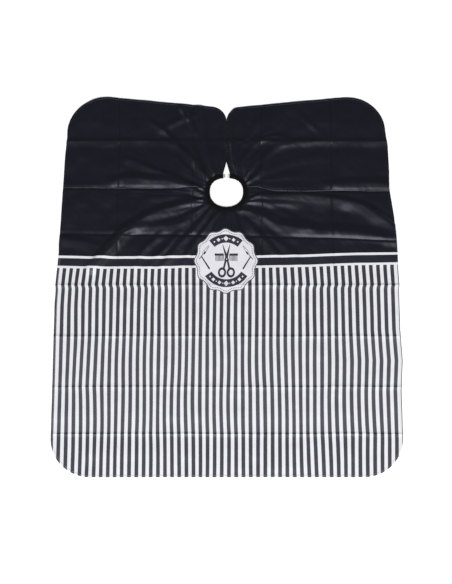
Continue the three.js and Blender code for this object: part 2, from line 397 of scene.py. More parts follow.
def crease_relief(u, v):
    """The roofs and gutters that pressing leaves."""
    total = np.zeros_like(u)
    away, _ = band_distance(u, v)
    clear = smoothstep(0.0, 0.06, away)
    for index, (line, shape) in enumerate(zip(CROSS_CREASES, CROSS_SHAPES)):
        rise, front, back, strengths = shape
        across = table_value(strengths, u) + 0.22 * value_noise(u / 0.17, v * 0, 21 + index)
        distance = v - line
        spread = np.where(distance < 0, front, back) * MM
        total += rise * MM * across * tent(np.abs(distance) / spread) * clear
    for index, line in enumerate(LONG_CREASES):
        strength = 0.8 + 0.4 * value_noise(v / 0.12 + 5 * index, u * 0 + 0.5, 41 + index)
        fade = np.ones_like(v)
        for crossing in CROSS_CREASES:
            fade *= smoothstep(0.0, 0.02, np.abs(v - crossing))
        total -= 3.0 * MM * strength * fade * clear * tent(np.abs(u - line) / 0.0046)
    return total


def billow(u, v):
    """Low swells between the creases, and small crumples."""
    striped = 1 - smoothstep(0.03, 0.12, v)
    swell = 1.7 * value_noise(u / 0.21, v / 0.17, 3) + 0.8 * value_noise(u / 0.09, v / 0.11, 4)
    bend = 0.03 * value_noise(u / 0.10, v / 0.10, 8)
    crumple = 1 - np.abs(value_noise((u + bend) / 0.060 + (v - bend) / 0.110,
                                     (v - bend) / 0.050, 5))
    patch = smoothstep(-0.1, 0.6, value_noise(u / 0.16, v / 0.13, 9))
    medium = value_noise(u / 0.055, v / 0.050, 14)
    fine = value_noise(u / 0.016 + v / 0.03, v / 0.022, 6)
    ripple = value_noise(u / 0.034, v / 0.16, 7)
    away, angle = band_distance(u, v)
    pulled = value_noise(angle * 11 + away * 9, away / 0.16, 10)
    pulled = pulled * smoothstep(0.02, 0.10, away) * (1 - smoothstep(0.22, 0.50, away))
    return MM * (swell + 0.4 * patch * crumple ** 4 + 1.6 * medium + 0.34 * fine
                 + 0.7 * striped * ripple + 1.6 * pulled)


def height(u, v):
    """How high the cloth lies: low beside the creases that fold, so the rows can close."""
    away, _ = band_distance(u, v)
    total = crease_relief(u, v) + billow(u, v) + gathers(u, v)
    for fold in LONG_FOLDS:
        total += long_fold(u, v, *fold)
    soft = 1.0 * MM
    gap = np.minimum(np.abs(v - BACK_CREASE), np.abs(v - FRONT_CREASE))
    ground = (0.8 + 2.6 * smoothstep(0.01, 0.09, gap)) * MM
    ceiling = np.minimum(8.0 * MM + 0.14 * gap, 16 * MM)
    lifted = soft * np.logaddexp(0, (total + ground) / soft)
    lifted = -soft * np.logaddexp(-lifted / soft, -ceiling / soft)
    near_band = 0.85 * np.exp(-(np.maximum(away, 0) / 0.014) ** 1.5)
    return REST_HEIGHT + lifted * (1 - near_band) + 4.4 * MM * near_band


# How far each side lies to the right of its flat place, in millimetres, at places along the cape.
LEFT_SHIFT = [(-0.8, 0), (-0.65, -1), (-0.4, 0), (-0.1, 0), (0.02, 5), (0.12, 11), (0.25, 10),
              (0.4, 7), (0.55, 4), (0.62, 6), (0.7, 2), (0.8, 1)]
RIGHT_SHIFT = [(-0.8, 0), (-0.65, 4), (-0.45, 3), (-0.33, 11), (-0.2, 4), (-0.1, 4), (0.05, 3),
               (0.2, 3), (0.3, 1), (0.38, -6), (0.42, -9), (0.48, -4), (0.58, -1), (0.65, -6),
               (0.7, -2), (0.8, 2)]


def drift(u, v):
    """How far the cloth lies to the side of its flat place: pulled in, and kinked at creases."""
    rows = np.array([-HALF_LENGTH - 0.05, *CROSS_CREASES, HALF_LENGTH + 0.05])
    row = np.clip(np.searchsorted(rows, v) - 1, 0, len(rows) - 2)
    share = (v - rows[row]) / (rows[row + 1] - rows[row])
    low = value_noise(u / 0.19, row * 3.7 + 0.5, 51)
    high = value_noise(u / 0.19, (row + 1) * 3.7 + 0.5, 51)
    kinked = low * (1 - share) + high * share
    bulge = value_noise(u / 0.11, row * 2.3 + 0.5, 52) * 4 * share * (1 - share)
    wave = value_noise(u / 0.07, v / 0.12, 53)
    edge = smoothstep(0, 0.12, HALF_WIDTH - np.abs(u))
    tucked = np.interp(v, (-0.030, CROSS_CREASES[3], 0.07), (0, 1, 0)) * (0.5 + 0.5 * edge)
    tucked = tucked * 4.5 * np.sign(u) * smoothstep(0.12, 0.35, np.abs(u))
    left = table_value(LEFT_SHIFT, v) * smoothstep(0.35, 0.7, -u)
    right = table_value(RIGHT_SHIFT, v) * smoothstep(0.35, 0.7, u)
    return MM * ((3.4 * kinked + 2.2 * bulge + 0.8 * wave) * edge + tucked + left + right)


# How far two creases stray towards the back, in millimetres, at places across the cape.
LOWER_STRAY = [(-0.7, 5), (-0.4, 0), (0.1, -5), (0.42, -14), (0.7, -27)]
UPPER_STRAY = [(-0.7, -3), (-0.42, -5), (-0.1, -9), (0.1, -17), (0.7, -17)]

# How far the printed lines climb towards the back, in millimetres, at places across the cape.
LINE_RISE = [(-0.7, 0), (-0.62, -1), (-0.55, -4), (-0.42, -3), (-0.30, -4.5), (-0.18, 0),
             (0.10, 0), (0.16, 2), (0.27, 3.4), (0.40, 7), (0.52, 11), (0.64, 13.4), (0.7, 14.5)]


def freedom(u, v):
    """0 where the band or the slit holds the cloth in its flat place, 1 away from them."""
    away = band_distance(u, v)[0]
    beside_slit = np.where(v > VEE_TIP_Y - 0.13, smoothstep(0.0, 0.08, np.abs(u)), 1)
    return smoothstep(0.03, 0.12, away) * beside_slit


def stray(u, v):
    """How far the cloth near the straying creases lies towards the back of its flat place."""
    ends = (*CROSS_CREASES[4:6], BACK_CREASE - 0.03)
    lower = table_value(LOWER_STRAY, u) * np.interp(v, CROSS_CREASES[3:6], (0, 1, 0))
    upper = table_value(UPPER_STRAY, u) * np.interp(v, ends, (0, 1, 0))
    return MM * (lower + upper) * freedom(u, v)


def surface(u, v):
    """Where the flat points (u, v) lie."""
    free = freedom(u, v)
    wander = MM * 1.6 * value_noise(u / 0.16, v * 0 + 0.3, 61)
    wander = wander * smoothstep(0, 0.05, HALF_LENGTH - np.abs(v)) * free
    return np.stack([u + drift(u, v) * free, v + wander + stray(u, v), height(u, v)], -1)


def surface_normal(u, v):
    """The cloth's upward normal at the flat points."""
    step = 0.0008
    along = surface(u + step, v) - surface(u - step, v)
    across = surface(u, v + step) - surface(u, v - step)
    normal = np.cross(along, across)
    return normal / np.linalg.norm(normal, axis=-1, keepdims=True)


def print_place(u, v):
    """The print's own coordinates. Its left half is ruffled a little tighter, its lines climb
    as LINE_RISE says, and it doesn't follow the creases that stray."""
    moved = u + PRINT_SHIFT
    climb = MM * table_value(LINE_RISE, u) * smoothstep(-0.10, 0.05, v)
    return moved * (1 - 0.0133 * np.tanh(moved / 0.15)), v + stray(u, v) - climb


# ---- Mesh building ----------------------------------------------------------------------------

def lofted(rings, sides, first=0, flipped=False, capped=True):
    """Faces between rings of points, counted from first, and over both ends."""
    faces = []
    for a in range(first, first + (rings - 1) * sides, sides):
        b = a + sides
        for k in range(sides):
            j = (k + 1) % sides
            faces.append([a + k, b + k, b + j, a + j] if flipped else [a + k, a + j, b + j, b + k])
    if capped:
        start = [first + k for k in range(sides)]
        end = [first + (rings - 1) * sides + k for k in range(sides)]
        faces += [start, end[::-1]] if flipped else [start[::-1], end]
    return faces


def new_piece(name, places, faces, prints, materials, face_materials=None, cloth=None):
    """A mesh with the print's coordinates and, for cloth, its flat place as well."""
    mesh = bpy.data.meshes.new(name)
    mesh.from_pydata([tuple(place) for place in places.tolist()], [], faces)
    corners = np.zeros(len(mesh.loops), np.int32)
    mesh.loops.foreach_get("vertex_index", corners)
    maps = {"print": prints} if cloth is None else {"print": prints, "cloth": cloth}
    for title, values in maps.items():
        layer = mesh.uv_layers.new(name=title)
        layer.data.foreach_set("uv", np.asarray(values, np.float32)[corners].ravel())
    for material in materials:
        mesh.materials.append(material)
    if face_materials is not None:
        mesh.polygons.foreach_set("material_index", np.asarray(face_materials, np.int32))
    mesh.polygons.foreach_set("use_smooth", np.full(len(mesh.polygons), True))
    mesh.update()
    mesh.validate()
    piece = bpy.data.objects.new(name, mesh)
    bpy.context.scene.collection.objects.link(piece)
    return piece


def grid_lines(low, high, stops, coarse, fine, joints=()):
    """Grid lines that pass through every stop, finer in one stretch and beside the joints."""
    marks = {low, high, *fine}
    for stop in stops:
        marks.update((stop - CREASE_HALF, stop, stop + CREASE_HALF))
    for joint in joints:
        marks.update((joint - HINGE_REACH, joint + HINGE_REACH))
    marks = sorted(mark for mark in marks if low <= mark <= high)
    lines = []
    for start, end in zip(marks[:-1], marks[1:]):
        middle = (start + end) / 2
        step = FINE_STEP if fine[0] < middle < fine[1] else coarse
        if any(abs(middle - joint) < HINGE_REACH for joint in joints):
            step = min(step, HINGE_STEP)
        count = max(1, round((end - start) / step))
        lines += list(start + (end - start) * np.arange(count) / count)
    return np.array(lines + [high])


def signed_distance(points, boundary):
    """Distance to the boundary, positive inside, and the nearest point on it."""
    start = boundary
    run = np.roll(boundary, -1, axis=0) - boundary
    squared = (run ** 2).sum(1)
    keep = squared > TINY
    start, run, squared = start[keep], run[keep], squared[keep]
    distance = np.full(len(points), FAR)
    nearest = np.zeros_like(points)
    inside = np.zeros(len(points), bool)
    for a, r, s in zip(start, run, squared):
        t = np.clip(((points - a) @ r) / s, 0, 1)
        foot = a + t[:, None] * r
        gap = np.hypot(*(points - foot).T)
        closer = gap < distance
        distance[closer] = gap[closer]
        nearest[closer] = foot[closer]
        crosses = (a[1] > points[:, 1]) != (a[1] + r[1] > points[:, 1])
        if abs(r[1]) > TINY:
            at = a[0] + (points[:, 1] - a[1]) / r[1] * r[0]
            inside ^= crosses & (points[:, 0] < at)
    return np.where(inside, distance, -distance), nearest


def near_boundary(points, boundary, reach):
    """Which points lie in a square of this reach round some point of the boundary."""
    near = np.zeros(len(points), bool)
    for place in boundary[::4]:
        near |= (np.abs(points - place) < reach).all(1)
    return near


def inside_rows(xs, ys, boundary):
    """Which points of a grid lie inside the boundary, row by row."""
    following = np.roll(boundary, -1, axis=0)
    rows = []
    for y in ys:
        crosses = (boundary[:, 1] > y) != (following[:, 1] > y)
        a, b = boundary[crosses], following[crosses]
        at = np.sort(a[:, 0] + (y - a[:, 1]) / (b[:, 1] - a[:, 1]) * (b[:, 0] - a[:, 0]))
        rows.append(np.searchsorted(at, xs) % 2 == 1)
    return np.array(rows)


RIM_REACH = 0.02          # only points this near the boundary are measured from it


def clipped_grid(xs, ys, boundary):
    """A grid cut to the boundary: its rim lies on the boundary itself."""
    columns, rows = len(xs), len(ys)
    points = np.stack(np.meshgrid(xs, ys), -1).reshape(-1, 2)
    step = np.maximum(np.tile(np.gradient(xs), rows), np.repeat(np.gradient(ys), columns))
    rim = near_boundary(points, boundary, RIM_REACH)
    distance = np.where(inside_rows(xs, ys, boundary).ravel(), 1.0, -1.0)
    found, nearest = signed_distance(points[rim], boundary)
    distance[rim] = found
    snap = rim & (np.abs(distance) < 0.5 * step)
    foot = np.zeros_like(points)
    foot[rim] = nearest
    moved = np.where(snap[:, None], foot, points)
    keep = (distance > 0) | snap
    index = np.arange(rows * columns).reshape(rows, columns)
    quads = np.stack([index[:-1, :-1], index[:-1, 1:], index[1:, 1:], index[1:, :-1]], -1)
    quads = quads.reshape(-1, 4)
    held = keep[quads]
    count = held.sum(1)
    on_rim = snap[quads].all(1)
    faces = [list(q) for q in quads[(count == 4) & ~on_rim]]
    rims = quads[(count == 4) & on_rim]
    depths, _ = signed_distance(moved[rims].mean(1), boundary)
    faces += [list(q) for q, depth in zip(rims, depths) if depth > 0]
    for quad, mask in zip(quads[count == 3], held[count == 3]):
        faces.append([int(q) for q, m in zip(quad, mask) if m])
    used = sorted({int(i) for face in faces for i in face})
    renumber = {old: new for new, old in enumerate(used)}
    return moved[used], [[renumber[int(i)] for i in face] for face in faces]


def rim_edges(faces):
    """The edges that only one face has, in that face's direction."""
    seen = {}
    for face in faces:
        for k, start in enumerate(face):
            end = face[(k + 1) % len(face)]
            if (end, start) in seen:
                del seen[(end, start)]
            else:
                seen[(start, end)] = True
    return list(seen)


def flat_area(flat, faces):
    """The area of the flat pattern."""
    total = 0.0
    for size in (3, 4):
        some = flat[np.array([face for face in faces if len(face) == size])]
        ahead = np.roll(some, -1, axis=1)
        total += abs((some[..., 0] * ahead[..., 1] - ahead[..., 0] * some[..., 1]).sum()) / 2
    return float(total)


def vertex_normals(places, faces):
    """Each point's normal, from the faces round it."""
    total = np.zeros_like(places)
    for size in (3, 4):
        some = np.array([face for face in faces if len(face) == size])
        corners = places[some]
        normal = np.cross(corners[:, 2] - corners[:, 0], corners[:, -1] - corners[:, 1])
        for k in range(size):
            np.add.at(total, some[:, k], normal)
    length = np.linalg.norm(total, axis=1)
    lost = length < TINY
    total[lost] = (0, 0, 1)
    length[lost] = 1
    return total / length[:, None]


def cloth_piece(name, x_range, y_range, materials):
    """One part of the cloth, with its printed face, its thickness and its underside."""
    coarse = 0.005 if y_range[1] < 0 else 0.0042
    xs = grid_lines(*x_range, LONG_CREASES, coarse, FINE_X)
    ys = grid_lines(*y_range, CROSS_CREASES, coarse, FINE_Y, joints=(FRONT_CREASE, BACK_CREASE))
    flat, faces = clipped_grid(xs, ys, BOUNDARY)
    u, v = flat[:, 0], flat[:, 1]
    top = surface(u, v)
    under = top - vertex_normals(top, faces) * CLOTH_THICKNESS
    count = len(top)
    sides = [[b, a, a + count, b + count] for a, b in rim_edges(faces)]
    below = [[i + count for i in reversed(face)] for face in faces]
    places = np.vstack([top, under])
    prints = np.stack(print_place(u, v), 1)
    face_materials = [0] * len(faces) + [1] * len(below) + [0] * len(sides)
    piece = new_piece(name, places, faces + below + sides, np.vstack([prints, prints]),
                      materials, face_materials, np.vstack([flat, flat]))
    return piece, flat_area(flat, faces)


HEM_PUCKER = 0.00022

# The hem's section: how far in from the edge, and how high over the cloth.
HEM_SECTION = [(HEM_WIDTH, 0.00012), (HEM_WIDTH - 0.0012, 0.0005), (0.0055, 0.00075),
               (0.0018, 0.00070), (0.0004, 0.00030), (0.0, -0.0003), (0.0006, -0.0009),
               (0.0030, -0.0012), (0.0065, -0.0012), (HEM_WIDTH - 0.0008, -0.0010),
               (HEM_WIDTH, -0.00055)]


def hem(name, edge, material):
    """The folded hem along an edge, puckered a little between its stitches."""
    run = lengths_along(edge)
    into = inward(edge)
    rows, prints, cloth = [], [], []
    for inside, lift in HEM_SECTION:
        flat = edge + into * inside
        u, v = flat[:, 0], flat[:, 1]
        pucker = HEM_PUCKER * value_noise(run / 0.007, run * 0 + inside * 300, 81)
        rise = lift + pucker * (lift > 0)
        rows.append(surface(u, v) + surface_normal(u, v) * rise[:, None])
        prints.append(np.stack(print_place(u, v), 1))
        cloth.append(flat)
    places, prints, cloth = (np.concatenate(np.stack(part, 1)) for part in (rows, prints, cloth))
    faces = lofted(len(edge), len(HEM_SECTION))
    return new_piece(name, places, faces, prints, [material], cloth=cloth)


def stitches(name, middle, aside, up, sizes, thread, sides, prints, material):
    """Separate stitches: rings of points round the middle line of each."""
    turns = turns_round(sides)[:, None, None, None]
    ring = np.cos(turns) * aside + np.sin(turns) * up
    places = middle[None] + ring * (sizes * thread)[None, None, :, None]
    places = places.transpose(1, 2, 0, 3).reshape(-1, 3)
    prints = np.repeat(prints.reshape(-1, 2), sides, axis=0)
    faces = []
    for first in range(0, len(places), len(sizes) * sides):
        faces += lofted(len(sizes), sides, first)
    return new_piece(name, places, faces, prints, [material])


def hem_stitches(name, edge, material):
    """The hem's seam: a row of single stitches, a set distance in from the edge."""
    pitch, thread, lift, sides = 0.0034, 0.00032, 0.0009, 5
    line = edge + inward(edge) * STITCH_INSET
    lengths = lengths_along(line)
    shares = np.array([-0.5, -0.30, 0.0, 0.30, 0.5])
    sizes = np.array([0.35, 0.9, 1.0, 0.9, 0.35])
    sinks = np.array([-0.9, -0.15, 0.0, -0.15, -0.9])
    centres = (np.arange(int(lengths[-1] / pitch)) + 0.5) * pitch
    at = centres[:, None] + shares[None] * pitch * 0.82
    u = np.interp(at, lengths, line[:, 0])
    v = np.interp(at, lengths, line[:, 1])
    base = surface(u, v)
    up = surface_normal(u, v)
    ahead = np.gradient(base, axis=1)
    ahead /= np.linalg.norm(ahead, axis=-1, keepdims=True)
    middle = base + up * (lift + sinks * thread)[None, :, None]
    return stitches(name, middle, np.cross(up, ahead), up, sizes, thread, sides,
                    np.stack([u, v], -1), material)


# ---- Shader helpers ---------------------------------------------------------------------------

class Sum:
    """A number, colour or vector that nodes work out. Sums of it are written as usual."""

    def __init__(self, graph, socket):
        self.graph = graph
        self.socket = socket

    def __add__(self, other):
        return self.graph.math("ADD", self, other)

    def __sub__(self, other):
        return self.graph.math("SUBTRACT", self, other)

    def __rsub__(self, other):
        return self.graph.math("SUBTRACT", other, self)

    def __mul__(self, other):
        return self.graph.math("MULTIPLY", self, other)

    def __truediv__(self, other):
        return self.graph.math("DIVIDE", self, other)

    def __abs__(self):
        return self.graph.math("ABSOLUTE", self)


class Graph:
    """A material's nodes."""

    def __init__(self, name):
        self.material = bpy.data.materials.new(name)
        self.material.use_nodes = True
        self.nodes = self.material.node_tree.nodes
        self.links = self.material.node_tree.links
        self.shader = self.nodes["Principled BSDF"]

    def put(self, socket, value):
        if isinstance(value, Sum):
            self.links.new(value.socket, socket)
        else:
            socket.default_value = value

    def node(self, kind, inputs, output=0, **settings):
        """The output of a new node with these inputs and settings."""
        node = self.nodes.new("ShaderNode" + kind)
        for setting, value in settings.items():
            setattr(node, setting, value)
        for key, value in inputs.items():
            self.put(node.inputs[key], value)
        return Sum(self, node.outputs[output])

    def shade(self, inputs):
        """The finished material, with these inputs on its shader."""
        for key, value in inputs.items():
            self.put(self.shader.inputs[key], value)
        return self.material

    def millimetres(self, title):
        """A UV map's coordinates in millimetres. Noise follows the last map asked for."""
        self.uv = self.node("UVMap", {}, uv_map=title)
        split = self.nodes.new("ShaderNodeSeparateXYZ")
        self.put(split.inputs[0], self.uv)
        return [Sum(self, split.outputs[axis]) * 1000 for axis in (0, 1)]

    def math(self, operation, *values, clamp=False):
        return self.node("Math", dict(enumerate(values)), operation=operation, use_clamp=clamp)

    def least(self, found, *values):
        for value in values:
            found = self.math("MINIMUM", found, value)
        return found

    def most(self, found, *values):
        for value in values:
            found = self.math("MAXIMUM", found, value)
        return found

    def length(self, x, y):
        return self.math("SQRT", x * x + y * y)

    def fill(self, distance, soft=0.35):
        """1 where the distance in millimetres is below zero, with a soft rim."""
        return self.math("SUBTRACT", 0.5, distance / (2 * soft), clamp=True)

    def repeat(self, value, pitch):
        """The value's place in its repeat, from minus half a pitch to plus half a pitch."""
        return self.math("FRACT", value / pitch) * pitch - pitch / 2

    def wave(self, value, pitch):
        return self.math("SINE", value * (2 * math.pi / pitch))

    def mix(self, share, a, b):
        """A colour between two."""
        return self.node("Mix", {0: share, 6: a, 7: b}, output=2, data_type="RGBA")

    def lerp(self, share, a, b):
        """A number between two."""
        return self.node("Mix", {0: share, 2: a, 3: b})

    def noise(self, scale, detail=2.0, roughness=0.5, vector=None):
        return self.node("TexNoise", {"Vector": vector or self.uv, "Scale": scale,
                                      "Detail": detail, "Roughness": roughness}, output="Fac")

    def bump(self, height_value, distance, strength, after=None):
        inputs = {"Strength": strength, "Distance": distance, "Height": height_value}
        if after is not None:
            inputs["Normal"] = after
        return self.node("Bump", inputs)


def linear(red, green, blue):
    """An sRGB colour, from 0 to 255, as Blender's linear one."""
    def one(value):
        value /= 255
        return value / 12.92 if value <= 0.04045 else ((value + 0.055) / 1.055) ** 2.4
    return (one(red), one(green), one(blue), 1.0)


# ---- The badge: a plain barber's badge with no lettering, in millimetres ----------------------

BADGE_LOBES = 12
BADGE_RADIUS = 132.0
LOBE_DEPTH = 8.5
BADGE_STRETCH = 1.05
BADGE_DOTS = 108


# Diamonds on the banners: angle from the banner's middle, upper or lower, and size.
BANNER_MARKS = [(0, 1, 11), (-20, 1, 8), (20, 1, 8), (-32, 1, 4), (32, 1, 4), (-10, 1, 3),
                (10, 1, 3), (0, -1, 11), (-18, -1, 8), (18, -1, 8), (-36, -1, 8), (36, -1, 8),
                (-9, -1, 3), (9, -1, 3), (-27, -1, 3), (27, -1, 3), (-47, -1, 4), (47, -1, 4)]
BANNER_MIDDLE = 91


def bar(g, x, y, start, end, thin, thick):
    """Distance to a round-ended bar, with its half width at either end."""
    run = (end[0] - start[0], end[1] - start[1])
    squared = run[0] ** 2 + run[1] ** 2
    px, py = x - start[0], y - start[1]
    share = g.math("DIVIDE", px * run[0] + py * run[1], squared, clamp=True)
    half_width = share * (thick - thin) + thin
    return g.length(px - share * run[0], py - share * run[1]) - half_width


def box_shape(g, x, y, centre, half):
    return g.most(abs(x - centre[0]) - half[0], abs(y - centre[1]) - half[1])


def sector(g, radius, angle, inner, outer, half_angle):
    """Distance to a banner that runs round the middle; angle is from its own centre."""
    return g.most(inner - radius, radius - outer, (abs(angle) - half_angle) * radius)


def badge_rim(g, radius, angle):
    """The field with its scalloped edge, and the outline and ring of dots inside it."""
    wave = g.math("COSINE", angle * BADGE_LOBES) * 0.5 + 0.5
    rim = g.math("POWER", wave, 1.25) * LOBE_DEPTH + (BADGE_RADIUS - LOBE_DEPTH)
    outside = radius - rim
    outline = g.fill(abs(outside + 1.6) - 1.6)
    turned = g.repeat(angle + math.pi, 2 * math.pi / BADGE_DOTS)
    dot = g.length(turned * radius, outside + 10.5) - 1.9
    return g.fill(outside), g.most(outline, g.fill(dot))


def banners(g, x, y, radius, angle):
    """The upper and lower banner with their diamonds left white."""
    upper = sector(g, radius, angle, 74, 108, math.radians(40))
    below = g.math("ARCTAN2", x, y * -1)
    lower = sector(g, radius, below, 74, 106, math.radians(55))
    marks = []
    for turn, sign, size in BANNER_MARKS:
        a = math.radians(turn)
        across = abs(x - BANNER_MIDDLE * math.sin(a))
        marks.append(across + abs(y - sign * BANNER_MIDDLE * math.cos(a)) - size)
    return g.fill(g.least(upper, lower)) * (1 - g.fill(g.least(*marks)))


def razors(g, x, y):
    """An open razor on either side."""
    side = abs(x)
    handle = bar(g, side, y, (101, 18), (70, -30), 2.2, 3.4)
    steel = bar(g, side, y, (101, 18), (74, 56), 0.9, 1.6)
    edge = bar(g, side, y, (90, 34), (72, 60), 5.5, 1.4)
    tang = bar(g, side, y, (101, 18), (109, 8), 1.6, 1.6)
    heel = bar(g, side, y, (89, 30), (86, 36), 3.4, 3.4)
    solid = g.fill(g.least(handle, tang, heel))
    return g.most(solid, g.fill(abs(g.least(steel, edge)) - 0.8))


def scissors_and_comb(g, x, y):
    """An open pair of scissors over a comb."""
    parts = []
    for side in (-1, 1):
        parts.append(bar(g, x, y, (side * -3, 4), (side * 15, 66), 6.5, 1.0))
        parts.append(bar(g, x, y, (side * -3, 6), (side * -11, -28), 4.0, 4.0))
        bow = g.length(x + side * 18, (y + 46) * 0.82)
        parts.append(abs(bow - 13.0) - 4.0)
    shears = g.least(*parts)
    pivot = g.length(x, y - 8) - 2.4
    back = box_shape(g, x, y, (0, 26), (48, 4.4))
    teeth = g.most(abs(g.repeat(x, 5.2)) - 1.35, box_shape(g, x, y, (0, 12), (45, 12)))
    comb = g.fill(g.least(back, teeth)) * (1 - g.fill(shears - 3.4))
    return g.most(g.fill(shears) * (1 - g.fill(pivot)), comb)


def badge(g, x, y):
    """Masks: the badge's field and its ink."""
    radius = g.length(x, y)
    angle = g.math("ARCTAN2", x, y)
    field, ink = badge_rim(g, radius, angle)
    return field, g.most(ink, banners(g, x, y, radius, angle), razors(g, x, y),
                         scissors_and_comb(g, x, y))


# ---- Materials --------------------------------------------------------------------------------

PRINT_SOFT = 0.45         # half the width of a printed edge, in millimetres
WEAVE = (0.9, 0.7)        # pitch of the threads each way, in millimetres
PARTLY_SHEENED = 0.36       # how far the painted sheen lightens the stripes in the row next to the lines
UNDERSIDE_VEIL = 0.62     # how far the underside's colours go towards its grey
SATIN = (0.36, 0.44)      # roughness
GLAZED = 0.31             # roughness on a crease


def printed_areas(g, x, y):
    """Masks: all that is printed dark, and the band between the two white lines."""
    middle = (LOWER_LINE_TOP + UPPER_LINE_LOW) / 2 / MM
    half = (UPPER_LINE_LOW - LOWER_LINE_TOP) / 2 / MM
    phase = g.repeat(x - STRIPE_SHIFT / MM, STRIPE_PITCH / MM)
    stripe = g.fill(abs(phase) - STRIPE_DARK / MM / 2, PRINT_SOFT)
    in_stripes = g.fill(y - STRIPES_TOP / MM, PRINT_SOFT)
    in_band = g.fill(abs(y - middle) - half, PRINT_SOFT)
    in_back = g.fill(UPPER_LINE_TOP / MM - y, PRINT_SOFT)
    return g.most(stripe * in_stripes, in_band, in_back), in_band


def ink_colour(g, x, y, in_band, mottled):
    """The dark ink. The middle rows of stripes are painted paler than the others, a painted sheen.
    """
    back = g.mix(mottled, linear(5, 6, 13), linear(17, 17, 26))
    stripe_ink = g.mix(mottled, linear(52, 51, 60), linear(62, 61, 71))
    stripe_with_painted_sheen = g.mix(mottled, linear(74, 73, 82), linear(84, 83, 92))
    band = g.mix(mottled, linear(28, 28, 37), linear(36, 36, 45))
    rows = [line / MM for line in CROSS_CREASES]
    # Painted sheen: the stripes in these rows, and less so in all rows in front of the fourth
    # crease, are lightened for the sheen on them.
    sheen_rows = g.fill(y - rows[2], 5.0) * g.fill(rows[0] - y, 5.0)
    partly_sheened = g.fill(y - rows[3], 5.0) * PARTLY_SHEENED
    stripes = g.mix(g.most(sheen_rows, partly_sheened), stripe_ink, stripe_with_painted_sheen)
    ink = g.mix(g.fill(y - STRIPES_TOP / MM, 2.0), back, stripes)
    ink = g.mix(in_band, ink, band)
    streaks = g.noise(1.0, vector=g.node("CombineXYZ", {0: x * 0.9, 1: y * 0.02}))
    return g.mix(streaks * 0.18, ink, linear(30, 31, 41))


def crease_shade_and_glaze(g, flat_x, flat_y, ink):
    """Masks along the pressed creases: painted shade along each crease, more painted shade on ink
    beside the cross creases, and where they are glazed.
    """
    along = g.least(*[abs(flat_x - line / MM) for line in LONG_CREASES])
    across = g.least(*[abs(flat_y - line / MM) for line in CROSS_CREASES])
    crease = g.least(along, across)
    uneven = g.lerp(g.noise(40.0), 0.3, 1.0)
    # Painted shade: a thin dark line along every crease, and on ink a wider dark strip beside the
    # cross creases.
    painted_crease_shade = g.fill(crease - 1.2, 0.7) * uneven * 0.30
    painted_ink_crease_shade = ink * g.fill(across - 3.2, 3.0) * 0.7
    return painted_crease_shade, painted_ink_crease_shade, g.fill(crease - 2.0, 0.8) * uneven


def cape_material(name, face):
    """The printed cloth. The underside shows the print faintly through."""
    g = Graph(name)
    flat_x, flat_y = g.millimetres("cloth")
    x, y = g.millimetres("print")
    dark, in_band = printed_areas(g, x, y)
    mottled = g.noise(9.0, 4.0, 0.6)
    white = g.mix(mottled, linear(225, 224, 227), linear(233, 232, 235))
    colour = g.mix(dark, white, ink_colour(g, x, y, in_band, mottled))
    field, marks = badge(g, x, (y - BADGE_Y / MM) / BADGE_STRETCH)
    field_colour = g.mix(mottled, linear(221, 219, 224), linear(230, 228, 233))
    colour = g.mix(field, colour, field_colour)
    colour = g.mix(marks * field, colour, linear(52, 50, 60))
    if face == "under":
        colour = g.mix(UNDERSIDE_VEIL, colour, linear(120, 121, 130))
    painted_crease_shade, painted_ink_crease_shade, glazed = crease_shade_and_glaze(g, flat_x, flat_y, dark * (1 - field))
    # Painted shade: the colour is darkened along the creases, more so on ink beside the cross
    # creases.
    colour = g.mix(painted_crease_shade, colour, linear(6, 6, 12))
    colour = g.mix(painted_ink_crease_shade, colour, linear(14, 14, 22))
    satin = g.lerp(g.noise(30.0, 3.0), *SATIN)
    threads = g.bump(g.wave(x, WEAVE[0]) * g.wave(y, WEAVE[1]), 0.00002, 0.3)
    crumpled = g.bump(g.noise(80.0, 3.0), 0.0005, 0.3, after=threads)
    return g.shade({"Base Color": colour, "Roughness": g.lerp(glazed, satin, GLAZED),
                    "IOR": 1.40, "Specular Tint": (0.84, 0.88, 1.0, 1), "Normal": crumpled})


def thread_material():
    """Sewing thread: dark on the dark cloth and the binding, white along the stripes."""
    g = Graph("sewing_thread")
    x, y = g.millimetres("print")
    tone = g.noise(400.0)
    dark = g.mix(tone, linear(15, 16, 24), linear(36, 36, 48))
    white = g.mix(tone, linear(205, 204, 210), linear(235, 234, 238))
    colour = g.mix(g.fill(y - UPPER_LINE_LOW / MM), dark, white)
    twist = g.bump(g.wave(x + y, 0.45), 0.00004, 0.5)
    return g.shade({"Base Color": colour, "Roughness": 0.55, "Normal": twist})


def ribbed_material(name, colours, grain, rough, ribs_x, ribs_y, depth, strength, specular=0.5):
    """Tape or knit: ribs across each way, given by their pitch and share of the depth."""
    g = Graph(name)
    x, y = g.millimetres("print")
    tone = g.noise(grain, 3.0)
    ribs = g.wave(x, ribs_x[0]) * ribs_x[1] + g.wave(y, ribs_y[0]) * ribs_y[1]
    return g.shade({"Base Color": g.mix(tone, *colours), "Roughness": g.lerp(tone, *rough),
                    "Specular IOR Level": specular, "Normal": g.bump(ribs, depth, strength)})


def wire_material():
    g = Graph("plated_wire")
    g.millimetres("print")
    wear = g.noise(900.0, 4.0)
    colour = g.mix(wear, linear(196, 188, 170), linear(228, 222, 208))
    return g.shade({"Base Color": colour, "Roughness": g.lerp(wear, 0.28, 0.45),
                    "Metallic": 0.7, "Normal": g.bump(g.noise(2500.0), 0.00003, 0.4)})


# ---- Neckband ---------------------------------------------------------------------------------

